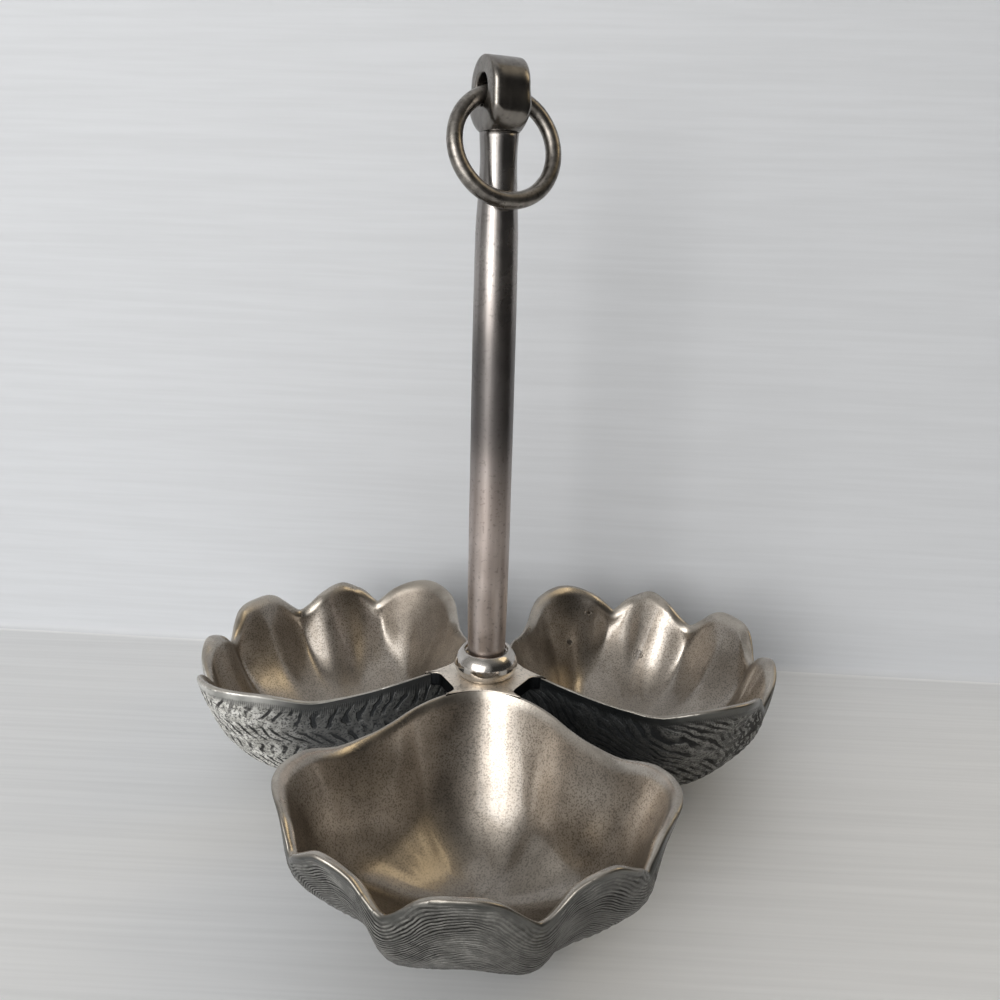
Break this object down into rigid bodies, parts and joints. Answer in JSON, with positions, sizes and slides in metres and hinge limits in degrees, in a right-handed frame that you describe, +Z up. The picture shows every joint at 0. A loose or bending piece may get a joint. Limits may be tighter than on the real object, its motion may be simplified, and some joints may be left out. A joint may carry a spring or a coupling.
{
  "type": "triple condiment server",
  "caption": "Cast metal server with ribbed clam-shell bowls round a flat hub and a tall centre handle topped by an eye with a loose ring.",
  "frame": {"origin": "on the table, at the centre of the bounding box seen from above; the handle's axis stands 16.634 mm behind it, along +Y", "axes": "+Z up along the handle, -Y towards the front bowl, +X to the right seen from the front bowl"},
  "size_m": [0.2496, 0.237, 0.2945],
  "materials": {
    "shell": "satin inside, dark antiqued texture outside, polished lip",
    "hub": "satin",
    "bead": "polished",
    "rod": "burnished",
    "eye": "dark satin",
    "ring": "dark satin with worn streaks",
    "screw": "plain"
  },
  "bodies": {
    "server": {"front_bowl": "shell", "right_bowl": "shell", "left_bowl": "shell", "hub_plate": "hub", "bead_collar": "bead", "handle_rod": "rod", "handle_screw": "screw", "screw_washer": "screw", "ring_eye": "eye"},
    "ring": {"hanging_ring": "ring"}
  },
  "joints": [
    {"name": "ring_swing", "type": "hinge", "parent": "server", "child": "ring", "pos_m": [0, 0.01663, 0.28302], "axis": [-0.8988, -0.4384, 0], "range_deg": [0, 326]}
  ]
}
